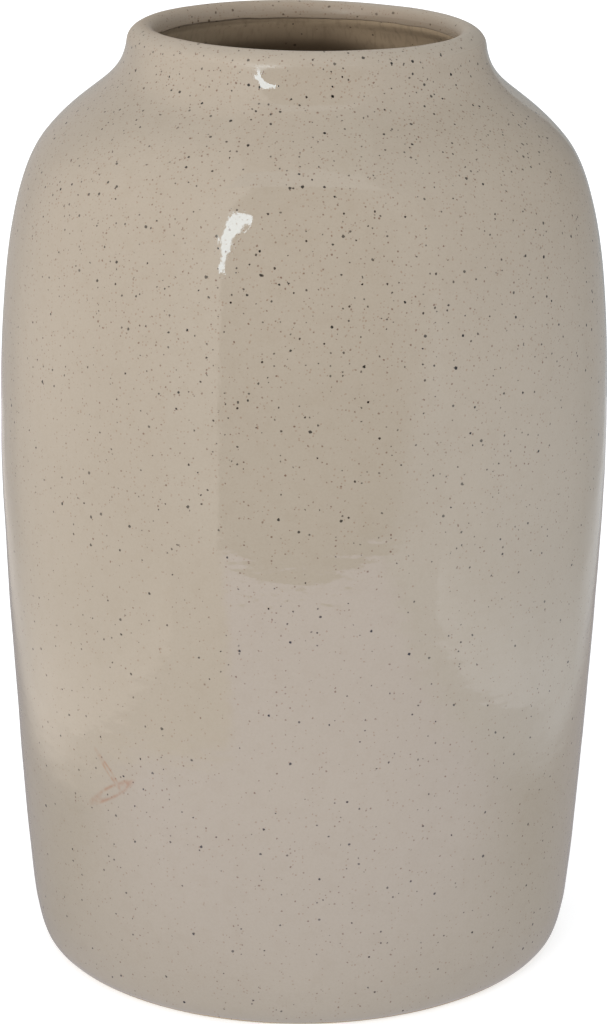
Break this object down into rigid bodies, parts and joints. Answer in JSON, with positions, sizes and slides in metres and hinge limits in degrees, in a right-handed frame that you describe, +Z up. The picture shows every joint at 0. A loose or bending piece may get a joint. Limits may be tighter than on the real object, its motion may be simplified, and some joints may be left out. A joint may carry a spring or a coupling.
{
  "type": "vase",
  "caption": "Tall round stoneware vase with a wide shoulder, a short neck, a thick rolled lip and a glossy speckled glaze, free-standing on a bare foot ring.",
  "frame": {"origin": "centre of the foot ring's underside, on the surface that the vase stands on", "axes": "+Z up along the vase's axis; the vase is round, so +X and +Y are any two level directions at right angles"},
  "size_m": [0.1808, 0.1808, 0.28],
  "materials": {
    "clay": "matte",
    "speckled_glaze": "gloss",
    "liner_glaze": "gloss"
  },
  "bodies": {
    "root": {"foot_ring": "clay", "floor_disc": "clay", "belly_wall": "clay", "shoulder_wall": "clay", "neck_collar": "clay", "lip_coil": "clay", "outer_glaze": "speckled_glaze", "liner_glaze": "liner_glaze"}
  },
  "joints": []
}
